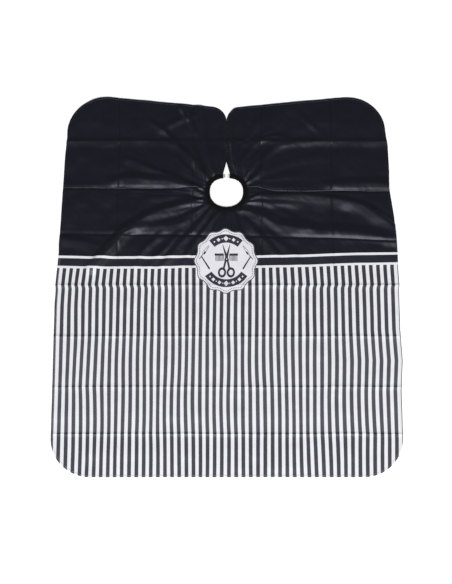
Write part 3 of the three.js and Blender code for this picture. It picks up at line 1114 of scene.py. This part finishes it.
def band_line(angles):
    """The band's middle line and outward direction: an oval, a little square at the back."""
    c, n = np.cos(angles), np.sin(angles)
    power = np.where(n > 0, 2.4, 2.12)
    round_out = (np.abs(c) ** power + np.abs(n) ** power) ** (-1 / power)
    centre = np.stack([(NECK_A + BAND_WIDTH / 2) * c * round_out,
                       NECK_Y + (NECK_B + BAND_WIDTH / 2) * n * round_out], 1)
    out = -inward(centre[::-1])[::-1]
    return centre, out


def band_angles(count, gap):
    """Angles round the neck, clockwise from one end of the band to the other."""
    start = math.acos(gap / (NECK_A + BAND_WIDTH / 2))
    return np.linspace(start, start - 2 * math.pi + (math.pi - 2 * start), count)


def tube(name, rings, prints, material):
    """A closed skin over rings of points, with both ends capped."""
    faces = lofted(*rings.shape[:2], flipped=True)
    return new_piece(name, rings.reshape(-1, 3), faces, np.reshape(prints, (-1, 2)), [material])


def band_rings(centre, out, reach, rise):
    """Rings of points across the band, by how far out and how high each point lies."""
    return np.stack([centre[:, None, 0] + out[:, None, 0] * reach,
                     centre[:, None, 1] + out[:, None, 1] * reach, BAND_Z + rise], -1)


def neckband(material):
    """The gathered binding: a soft tube round the neck with small pleats, closed at its ends."""
    turns, ring = ((800, 32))
    centre, out = band_line(band_angles(turns, BAND_GAP_HALF))
    run = lengths_along(centre)
    from_end = np.clip(np.minimum(run, run[-1] - run) / 0.003, 0, 1)
    closing = 0.72 + 0.28 * np.sqrt(np.clip(1 - (1 - from_end) ** 2, 0, 1))
    pleat = value_noise(run / 0.0050, run * 0, 71)
    small = value_noise(run / 0.0019, run * 0, 72)
    around = turns_round(ring)
    flat = np.sign(np.cos(around)) * np.abs(np.cos(around)) ** 0.72
    tall = np.sign(np.sin(around)) * np.abs(np.sin(around)) ** 0.85
    outer = np.clip(flat, 0, 1)
    reach = BAND_WIDTH / 2 * flat[None] * (1 + 0.03 * (pleat + small)[:, None] * np.abs(flat))
    folds = 1 + (0.07 * pleat + 0.04 * small)[:, None] * (0.4 + outer)[None]
    rise = BAND_HALF_HEIGHT * tall[None] * folds * closing[:, None] * (1 - 0.12 * outer)[None]
    rise = np.maximum(rise, -BAND_HALF_HEIGHT)
    prints = np.stack([np.broadcast_to(run[:, None], reach.shape),
                       np.broadcast_to(around * 0.005, reach.shape)], -1)
    return tube("neckband", band_rings(centre, out, reach, rise), prints, material)


def band_elastic(material):
    """The flat elastic that lies inside the band."""
    turns, half_width, half_height, shift = 300, 0.0058, 0.0009, -0.0015
    centre, out = band_line(band_angles(turns, BAND_GAP_HALF + 0.004))
    corners = [(-1, -0.6), (-0.9, -1), (0.9, -1), (1, -0.6), (1, 0.6), (0.9, 1), (-0.9, 1),
               (-1, 0.6)]
    across, rise = np.array(corners).T
    waves = 1 + 0.25 * value_noise(np.arange(turns) / 5, np.zeros(turns), 91)
    rings = band_rings(centre, out, across * half_width + shift,
                       rise * half_height * waves[:, None])
    return tube("neckband_elastic", rings, rings[..., :2], material)


def band_stitches(material):
    """The seam that closes the binding on the cloth, near the band's outer edge."""
    pitch, thread, sides = 0.0032, 0.00035, 6
    centre, out = band_line(band_angles(700, BAND_GAP_HALF + 0.002))
    line = centre + out * (BAND_WIDTH / 2 - 0.0032)
    run = lengths_along(line)
    shares = np.array([-0.42, -0.2, 0.2, 0.42])
    sizes = np.array([0.4, 1.0, 1.0, 0.4])
    at = (np.arange(int(run[-1] / pitch))[:, None] + 0.5 + shares) * pitch
    x, y = (np.interp(at, run, line[:, axis]) for axis in (0, 1))
    aside_x, aside_y = (np.interp(at, run, out[:, axis]) for axis in (0, 1))
    top = BAND_Z + 0.0044 - 0.0005 * (1 - sizes) + x * 0
    middle = np.stack([x, y, top], -1)
    aside = np.stack([aside_x, aside_y, x * 0], -1)
    return stitches("neckband_stitching", middle, aside, UP, sizes, thread, sides,
                    middle[..., :2], material)


# ---- Closure ----------------------------------------------------------------------------------

PIN_X = (RING_HIGH.x + RING_LOW.x) / 2 + 0.0027
RING_MIDDLE_Y = (RING_HIGH.y + RING_LOW.y) / 2
WIRE_RADIUS = 0.0008


def wire_loop(side):
    """The bent wire's closed path: a pin in the tape, two arms and a front bar."""
    far = RING_LOW.x + WIRE_RADIUS
    half = (RING_HIGH.y - RING_LOW.y) / 2 - WIRE_RADIUS
    bend = 0.0013
    corners = [(PIN_X - bend, half - bend, 90, 0), (PIN_X - bend, bend - half, 0, -90),
               (far + bend, bend - half, -90, -180), (far + bend, half - bend, 180, 90)]
    points = []
    for x, y, start, end in corners:
        for angle in np.radians(np.linspace(start, end, 7)):
            points.append((side * (x + bend * math.cos(angle)),
                           RING_MIDDLE_Y + y + bend * math.sin(angle), PIN_Z))
    return np.array(points)


def sweep(points, radius, sides=12, closed=True):
    """Rings of points round a path that lies about level."""
    if closed:
        ahead = np.roll(points, -1, axis=0) - np.roll(points, 1, axis=0)
    else:
        ahead = np.gradient(points, axis=0)
    ahead /= np.linalg.norm(ahead, axis=1)[:, None]
    aside = np.cross(UP, ahead)
    aside /= np.linalg.norm(aside, axis=1)[:, None]
    over = np.cross(ahead, aside)
    turns = turns_round(sides)[None, :, None]
    ring = np.cos(turns) * aside[:, None] + np.sin(turns) * over[:, None]
    return points[:, None] + radius * ring


# The hook's tongue seen along the band's end: in from the front bar, and up from the pin.
TONGUE = [(0.0010, 0.0008), (0.0, 0.0012), (-0.0008, 0.0006), (-0.0008, -0.0010),
          (-0.0002, -0.0021), (0.0010, -0.0025), (0.0028, -0.0022)]
TONGUE_HALF = 0.0040
TONGUE_THICKNESS = 0.0008


def closure_wire(name, side, tongue, material):
    """The wire ring, or with a tongue under its front bar, the hook."""
    path = wire_loop(side)
    sides = 12
    places = sweep(path, WIRE_RADIUS, sides).reshape(-1, 3)
    last = (len(path) - 1) * sides
    faces = lofted(len(path), sides, capped=False)
    faces += [[last + k, last + (k + 1) % sides, (k + 1) % sides, k] for k in range(sides)]
    if tongue:
        line = np.array(TONGUE) + [RING_LOW.x + WIRE_RADIUS, 0]
        offset = inward(line) * TONGUE_THICKNESS / 2
        skin = np.vstack([line + offset, (line - offset)[::-1]])
        faces += lofted(4, len(skin), len(places))
        for y in (-TONGUE_HALF, 0.0004 - TONGUE_HALF, TONGUE_HALF - 0.0004, TONGUE_HALF):
            ring = [(side * x, RING_MIDDLE_Y + y, PIN_Z + z) for x, z in skin]
            places = np.vstack([places, ring])
    return new_piece(name, places, faces, places[:, :2], [material])


def tape_loop(name, side, material):
    """The tape that holds the wire: round the pin, with both ends inside the band."""
    half_width, gap, thick = 0.0055, WIRE_RADIUS + 0.0003, 0.0009
    middle = gap + thick / 2
    turn = np.radians(np.linspace(90, 270, 13))
    tail = [(0.0225, 0.0006), (0.0165, 0.0009), (0.0135, middle * 0.9)]
    bend = [(PIN_X + middle * math.cos(a), middle * math.sin(a)) for a in turn]
    line = np.array(tail + bend + [(x, -z) for x, z in tail[::-1]])
    offset = inward(line) * thick / 2
    skin = np.vstack([line - offset, (line + offset)[::-1]])
    rows, sides = 9, len(skin)
    places, prints = [], []
    for y in half_width * np.linspace(-1, 1, rows):
        for x, z in skin:
            places.append((side * x, RING_MIDDLE_Y + y, PIN_Z + z))
            prints.append((x + z, y))
    faces = lofted(rows, sides, capped=False)
    for a in (0, (rows - 1) * sides):
        for k in range(len(line) - 1):
            quad = [a + k, a + k + 1, a + sides - 2 - k, a + sides - 1 - k]
            faces.append(quad if a else quad[::-1])
    return new_piece(name, np.array(places), faces, np.array(prints), [material])


TACK_X = 0.0165
TACK_HALF = 0.0070
TACK_TOP = 0.0105


def bar_tack(name, side, material):
    """A row of tight zigzag stitches across the band, near its end."""
    count = 46
    share = np.linspace(-1, 1, count)
    swing = np.where(np.arange(count) % 2, 0.0010, -0.0010)
    path = np.stack([side * (TACK_X + swing), RING_MIDDLE_Y + TACK_HALF * share,
                     TACK_TOP - 0.0002 * np.abs(share) ** 3], 1)
    rings = sweep(path, 0.00028, sides=6, closed=False)
    return tube(name, rings, rings[..., :2], material)


# ---- Build ------------------------------------------------------------------------------------

PRINTED = cape_material("cape_print", "top")
UNDERSIDE = cape_material("cape_underside", "under")
BAND = ribbed_material("neckband_knit", (linear(5, 5, 6), linear(15, 15, 16)), 260.0,
                       (0.78, 0.95), (1.3, 1.0), (1.1, 0.5), 0.00012, 0.7, 0.12)
THREAD = thread_material()
ELASTIC = ribbed_material("elastic_tape", (linear(206, 200, 188), linear(226, 221, 210)), 500.0,
                          (0.65, 0.85), (0.77, 0.5), (1.1, 1.0), 0.0002, 0.6)
TAPE = ribbed_material("loop_tape", (linear(178, 170, 156), linear(214, 207, 194)), 500.0,
                       (0.65, 0.85), (0.42, 0.5), (0.6, 1.0), 0.00012, 0.6)
WIRE = wire_material()

EDGE_PAD = 0.01
SEAM_LOW, SEAM_HIGH = CROSS_CREASES[3], CROSS_CREASES[5]
WIDE = (-HALF_WIDTH - EDGE_PAD, HALF_WIDTH + EDGE_PAD)
FRONT = -HALF_LENGTH - EDGE_PAD
BACK = HALF_LENGTH + EDGE_PAD
LEFT_HALF, RIGHT_HALF = (WIDE[0], 0.0), (0.0, WIDE[1])
CLOTH = [PRINTED, UNDERSIDE]
cloth_front, front_area = cloth_piece("cape_front", WIDE, (FRONT, SEAM_LOW), CLOTH)
cloth_middle, middle_area = cloth_piece("cape_middle", WIDE, (SEAM_LOW, SEAM_HIGH), CLOTH)
cloth_left, left_area = cloth_piece("cape_back_left", LEFT_HALF, (SEAM_HIGH, BACK), CLOTH)
cloth_right, right_area = cloth_piece("cape_back_right", RIGHT_HALF, (SEAM_HIGH, BACK), CLOTH)

# The edge's runs: the back flaps', and the front and sides up to just past the same seam.
right_run = RIGHT_EDGE[RIGHT_EDGE[:, 1] >= SEAM_HIGH - 1e-6]
left_run = mirrored(right_run)
right_low = RIGHT_EDGE[(RIGHT_EDGE[:, 1] <= SEAM_HIGH + 0.0015) & (RIGHT_EDGE[:, 0] > 0.1)
                       | (RIGHT_EDGE[:, 1] < -HALF_LENGTH + 0.001)]
front_run = np.vstack([mirrored(right_low)[:-1], right_low])
hem_right = hem("hem_right_back", right_run, PRINTED)
hem_left = hem("hem_left_back", left_run, PRINTED)
hem_front = hem("hem_front_and_sides", front_run, PRINTED)
stitch_right = hem_stitches("stitching_back_right", right_run, THREAD)
stitch_left = hem_stitches("stitching_back_left", left_run, THREAD)
stitch_front = hem_stitches("stitching_front", front_run, THREAD)

band = neckband(BAND)
seam = band_stitches(THREAD)
elastic = band_elastic(ELASTIC)
hook = closure_wire("hook_wire", -1, True, WIRE)
ring = closure_wire("ring_wire", 1, False, WIRE)
hook_tape = tape_loop("hook_tape", -1, TAPE)
ring_tape = tape_loop("ring_tape", 1, TAPE)
left_tack = bar_tack("tack_left", -1, THREAD)
right_tack = bar_tack("tack_right", 1, THREAD)

for piece in (cloth_left, hem_left, stitch_left):
    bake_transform(piece)
for piece in (cloth_right, hem_right, stitch_right):
    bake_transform(piece)
for piece in (cloth_front, hem_front, stitch_front):
    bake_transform(piece)
for piece in (cloth_middle, band, seam, elastic, hook_tape, ring_tape, left_tack, right_tack):
    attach(piece, "root")
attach(hook, "hook")
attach(ring, "ring")

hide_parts("cape_cloth")
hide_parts("cape_cloth_front_row")
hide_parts("cape_cloth_back_left")
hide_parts("cape_cloth_back_right")
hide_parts("hem_front", "hem_left", "hem_right")
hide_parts("hem_back_left", "hem_slit_left")
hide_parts("hem_back_right", "hem_slit_right")
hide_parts("neckband_binding")
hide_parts("neck_elastic")
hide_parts("closure_hook")
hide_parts("closure_ring")
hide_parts("hook_loop")
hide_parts("ring_loop")
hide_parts("bar_tack_left")
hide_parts("bar_tack_right")

# ---- Floor, light and camera ------------------------------------------------------------------

FLOOR = 30.0
floor_mesh = bpy.data.meshes.new("floor")
floor_mesh.from_pydata([(-FLOOR, -FLOOR, 0), (FLOOR, -FLOOR, 0), (FLOOR, FLOOR, 0),
                        (-FLOOR, FLOOR, 0)], [], [(0, 1, 2, 3)])
floor_mesh.materials.append(Graph("floor_paper").shade({
    "Base Color": (0.93, 0.93, 0.93, 1), "Roughness": 0.9,
    "Emission Color": (1, 1, 1, 1), "Emission Strength": 0.20}))
floor = bpy.data.objects.new("floor", floor_mesh)
bpy.context.scene.collection.objects.link(floor)


def softbox(name, place, size, power):
    """A soft light that faces the cape's middle."""
    light = bpy.data.lights.new(name, "AREA")
    light.shape = "RECTANGLE"
    light.size, light.size_y = size
    light.energy = power
    lamp = bpy.data.objects.new(name, light)
    lamp.location = place
    lamp.rotation_euler = (-Vector(place)).to_track_quat("-Z", "Y").to_euler()
    bpy.context.scene.collection.objects.link(lamp)


softbox("key", (0.4, -4.9, 7.6), (4.4, 3.4), 760)
softbox("left", (-7.7, 0.6, 2.4), (3.6, 3.4), 95)
softbox("right", (7.7, 0.4, 2.4), (3.6, 3.4), 80)

world = bpy.data.worlds.new("studio")
world.use_nodes = True
background = world.node_tree.nodes["Background"]
background.inputs["Color"].default_value = (0.93, 0.95, 1.0, 1)
background.inputs["Strength"].default_value = 0.25
bpy.context.scene.world = world
bpy.context.scene.view_settings.view_transform = "Standard"

CAMERA_TILT = math.radians(13.6)
CAMERA_DISTANCE = 6.1
CAMERA_LENS = 92.1
SENSOR_WIDTH = 36
AIM = Vector((-0.002, -0.044, 0))
camera_data = bpy.data.cameras.new("camera")
camera_data.lens = CAMERA_LENS
camera_data.sensor_width = SENSOR_WIDTH
camera = bpy.data.objects.new("camera", camera_data)
camera.location = AIM + CAMERA_DISTANCE * Vector((0, -math.sin(CAMERA_TILT),
                                                  math.cos(CAMERA_TILT)))
camera.rotation_euler = (CAMERA_TILT, 0, 0)
bpy.context.scene.collection.objects.link(camera)
bpy.context.scene.camera = camera

bpy.context.view_layer.update()
